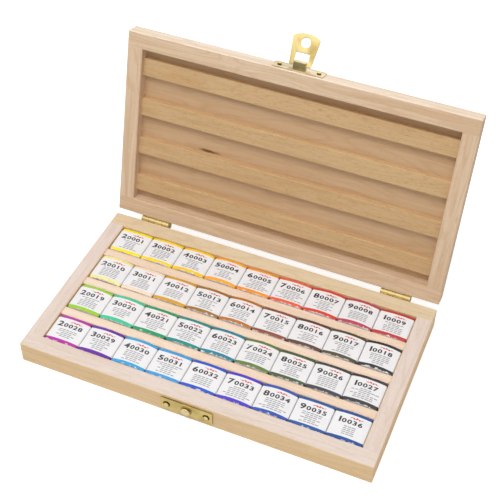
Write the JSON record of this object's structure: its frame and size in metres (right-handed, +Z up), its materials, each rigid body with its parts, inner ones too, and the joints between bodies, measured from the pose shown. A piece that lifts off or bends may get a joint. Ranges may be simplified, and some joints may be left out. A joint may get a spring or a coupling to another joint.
{
  "type": "watercolour paint box",
  "caption": "Shallow hinged wooden case with a stop-hinged lid, hasp catch and rows of wrapped half pans held between wooden ridges.",
  "frame": {"origin": "middle of the underside of the base", "axes": "+X along the rows of pans to the right, +Y from the front to the hinges, +Z up"},
  "size_m": [0.205, 0.1676, 0.1429],
  "materials": {
    "beech_solid": "sanded, unvarnished beech",
    "beech_panel": "thin beech panel, unvarnished",
    "brass_plate": "bright brass-plated sheet",
    "pan_wrap": "white label paper over a coloured wrapper"
  },
  "bodies": {
    "root": {"base_front_rail": "beech_solid", "base_back_rail": "beech_solid", "base_left_rail": "beech_solid", "base_right_rail": "beech_solid", "base_floor_panel": "beech_panel", "tray_ridges": "beech_solid", "strike_plate": "brass_plate", "strike_stud": "brass_plate", "base_pins": "brass_plate", "left_hinge_base_leaf": "brass_plate", "right_hinge_base_leaf": "brass_plate", "left_hinge_pin": "brass_plate", "right_hinge_pin": "brass_plate"},
    "lid": {"lid_front_rail": "beech_solid", "lid_back_rail": "beech_solid", "lid_left_rail": "beech_solid", "lid_right_rail": "beech_solid", "lid_top_panel": "beech_panel", "lid_press_slats": "beech_solid", "catch_lid_plate": "brass_plate", "lid_pins": "brass_plate", "left_hinge_lid_leaf": "brass_plate", "right_hinge_lid_leaf": "brass_plate"},
    "catch": {"catch_tongue": "brass_plate"},
    "pan_r1_c1": {"pan_r1_c1": "pan_wrap"},
    "pan_r1_c2": {"pan_r1_c2": "pan_wrap"},
    "pan_r1_c3": {"pan_r1_c3": "pan_wrap"},
    "pan_r1_c4": {"pan_r1_c4": "pan_wrap"},
    "pan_r1_c5": {"pan_r1_c5": "pan_wrap"},
    "pan_r1_c6": {"pan_r1_c6": "pan_wrap"},
    "pan_r1_c7": {"pan_r1_c7": "pan_wrap"},
    "pan_r1_c8": {"pan_r1_c8": "pan_wrap"},
    "pan_r1_c9": {"pan_r1_c9": "pan_wrap"},
    "pan_r2_c1": {"pan_r2_c1": "pan_wrap"},
    "pan_r2_c2": {"pan_r2_c2": "pan_wrap"},
    "pan_r2_c3": {"pan_r2_c3": "pan_wrap"},
    "pan_r2_c4": {"pan_r2_c4": "pan_wrap"},
    "pan_r2_c5": {"pan_r2_c5": "pan_wrap"},
    "pan_r2_c6": {"pan_r2_c6": "pan_wrap"},
    "pan_r2_c7": {"pan_r2_c7": "pan_wrap"},
    "pan_r2_c8": {"pan_r2_c8": "pan_wrap"},
    "pan_r2_c9": {"pan_r2_c9": "pan_wrap"},
    "pan_r3_c1": {"pan_r3_c1": "pan_wrap"},
    "pan_r3_c2": {"pan_r3_c2": "pan_wrap"},
    "pan_r3_c3": {"pan_r3_c3": "pan_wrap"},
    "pan_r3_c4": {"pan_r3_c4": "pan_wrap"},
    "pan_r3_c5": {"pan_r3_c5": "pan_wrap"},
    "pan_r3_c6": {"pan_r3_c6": "pan_wrap"},
    "pan_r3_c7": {"pan_r3_c7": "pan_wrap"},
    "pan_r3_c8": {"pan_r3_c8": "pan_wrap"},
    "pan_r3_c9": {"pan_r3_c9": "pan_wrap"},
    "pan_r4_c1": {"pan_r4_c1": "pan_wrap"},
    "pan_r4_c2": {"pan_r4_c2": "pan_wrap"},
    "pan_r4_c3": {"pan_r4_c3": "pan_wrap"},
    "pan_r4_c4": {"pan_r4_c4": "pan_wrap"},
    "pan_r4_c5": {"pan_r4_c5": "pan_wrap"},
    "pan_r4_c6": {"pan_r4_c6": "pan_wrap"},
    "pan_r4_c7": {"pan_r4_c7": "pan_wrap"},
    "pan_r4_c8": {"pan_r4_c8": "pan_wrap"},
    "pan_r4_c9": {"pan_r4_c9": "pan_wrap"}
  },
  "joints": [
    {"name": "lid_hinge", "type": "hinge", "parent": "root", "child": "lid", "pos_m": [0, 0.0597, 0.01405], "axis": [-1, 0, 0], "range_deg": [-104.28, 0]},
    {"name": "catch_swing", "type": "hinge", "parent": "lid", "child": "catch", "pos_m": [-0.001, 0.09466, 0.1297], "axis": [-1, 0, 0], "range_deg": [-116, 64]},
    {"name": "pan_r1_c1_lift", "type": "slide", "parent": "root", "child": "pan_r1_c1", "axis": [0, 0, 1], "range_m": [0, 0.016]},
    {"name": "pan_r1_c2_lift", "type": "slide", "parent": "root", "child": "pan_r1_c2", "axis": [0, 0, 1], "range_m": [0, 0.016]},
    {"name": "pan_r1_c3_lift", "type": "slide", "parent": "root", "child": "pan_r1_c3", "axis": [0, 0, 1], "range_m": [0, 0.016]},
    {"name": "pan_r1_c4_lift", "type": "slide", "parent": "root", "child": "pan_r1_c4", "axis": [0, 0, 1], "range_m": [0, 0.016]},
    {"name": "pan_r1_c5_lift", "type": "slide", "parent": "root", "child": "pan_r1_c5", "axis": [0, 0, 1], "range_m": [0, 0.016]},
    {"name": "pan_r1_c6_lift", "type": "slide", "parent": "root", "child": "pan_r1_c6", "axis": [0, 0, 1], "range_m": [0, 0.016]},
    {"name": "pan_r1_c7_lift", "type": "slide", "parent": "root", "child": "pan_r1_c7", "axis": [0, 0, 1], "range_m": [0, 0.016]},
    {"name": "pan_r1_c8_lift", "type": "slide", "parent": "root", "child": "pan_r1_c8", "axis": [0, 0, 1], "range_m": [0, 0.016]},
    {"name": "pan_r1_c9_lift", "type": "slide", "parent": "root", "child": "pan_r1_c9", "axis": [0, 0, 1], "range_m": [0, 0.016]},
    {"name": "pan_r2_c1_lift", "type": "slide", "parent": "root", "child": "pan_r2_c1", "axis": [0, 0, 1], "range_m": [0, 0.016]},
    {"name": "pan_r2_c2_lift", "type": "slide", "parent": "root", "child": "pan_r2_c2", "axis": [0, 0, 1], "range_m": [0, 0.016]},
    {"name": "pan_r2_c3_lift", "type": "slide", "parent": "root", "child": "pan_r2_c3", "axis": [0, 0, 1], "range_m": [0, 0.016]},
    {"name": "pan_r2_c4_lift", "type": "slide", "parent": "root", "child": "pan_r2_c4", "axis": [0, 0, 1], "range_m": [0, 0.016]},
    {"name": "pan_r2_c5_lift", "type": "slide", "parent": "root", "child": "pan_r2_c5", "axis": [0, 0, 1], "range_m": [0, 0.016]},
    {"name": "pan_r2_c6_lift", "type": "slide", "parent": "root", "child": "pan_r2_c6", "axis": [0, 0, 1], "range_m": [0, 0.016]},
    {"name": "pan_r2_c7_lift", "type": "slide", "parent": "root", "child": "pan_r2_c7", "axis": [0, 0, 1], "range_m": [0, 0.016]},
    {"name": "pan_r2_c8_lift", "type": "slide", "parent": "root", "child": "pan_r2_c8", "axis": [0, 0, 1], "range_m": [0, 0.016]},
    {"name": "pan_r2_c9_lift", "type": "slide", "parent": "root", "child": "pan_r2_c9", "axis": [0, 0, 1], "range_m": [0, 0.016]},
    {"name": "pan_r3_c1_lift", "type": "slide", "parent": "root", "child": "pan_r3_c1", "axis": [0, 0, 1], "range_m": [0, 0.016]},
    {"name": "pan_r3_c2_lift", "type": "slide", "parent": "root", "child": "pan_r3_c2", "axis": [0, 0, 1], "range_m": [0, 0.016]},
    {"name": "pan_r3_c3_lift", "type": "slide", "parent": "root", "child": "pan_r3_c3", "axis": [0, 0, 1], "range_m": [0, 0.016]},
    {"name": "pan_r3_c4_lift", "type": "slide", "parent": "root", "child": "pan_r3_c4", "axis": [0, 0, 1], "range_m": [0, 0.016]},
    {"name": "pan_r3_c5_lift", "type": "slide", "parent": "root", "child": "pan_r3_c5", "axis": [0, 0, 1], "range_m": [0, 0.016]},
    {"name": "pan_r3_c6_lift", "type": "slide", "parent": "root", "child": "pan_r3_c6", "axis": [0, 0, 1], "range_m": [0, 0.016]},
    {"name": "pan_r3_c7_lift", "type": "slide", "parent": "root", "child": "pan_r3_c7", "axis": [0, 0, 1], "range_m": [0, 0.016]},
    {"name": "pan_r3_c8_lift", "type": "slide", "parent": "root", "child": "pan_r3_c8", "axis": [0, 0, 1], "range_m": [0, 0.016]},
    {"name": "pan_r3_c9_lift", "type": "slide", "parent": "root", "child": "pan_r3_c9", "axis": [0, 0, 1], "range_m": [0, 0.016]},
    {"name": "pan_r4_c1_lift", "type": "slide", "parent": "root", "child": "pan_r4_c1", "axis": [0, 0, 1], "range_m": [0, 0.016]},
    {"name": "pan_r4_c2_lift", "type": "slide", "parent": "root", "child": "pan_r4_c2", "axis": [0, 0, 1], "range_m": [0, 0.016]},
    {"name": "pan_r4_c3_lift", "type": "slide", "parent": "root", "child": "pan_r4_c3", "axis": [0, 0, 1], "range_m": [0, 0.016]},
    {"name": "pan_r4_c4_lift", "type": "slide", "parent": "root", "child": "pan_r4_c4", "axis": [0, 0, 1], "range_m": [0, 0.016]},
    {"name": "pan_r4_c5_lift", "type": "slide", "parent": "root", "child": "pan_r4_c5", "axis": [0, 0, 1], "range_m": [0, 0.016]},
    {"name": "pan_r4_c6_lift", "type": "slide", "parent": "root", "child": "pan_r4_c6", "axis": [0, 0, 1], "range_m": [0, 0.016]},
    {"name": "pan_r4_c7_lift", "type": "slide", "parent": "root", "child": "pan_r4_c7", "axis": [0, 0, 1], "range_m": [0, 0.016]},
    {"name": "pan_r4_c8_lift", "type": "slide", "parent": "root", "child": "pan_r4_c8", "axis": [0, 0, 1], "range_m": [0, 0.016]},
    {"name": "pan_r4_c9_lift", "type": "slide", "parent": "root", "child": "pan_r4_c9", "axis": [0, 0, 1], "range_m": [0, 0.016]}
  ]
}
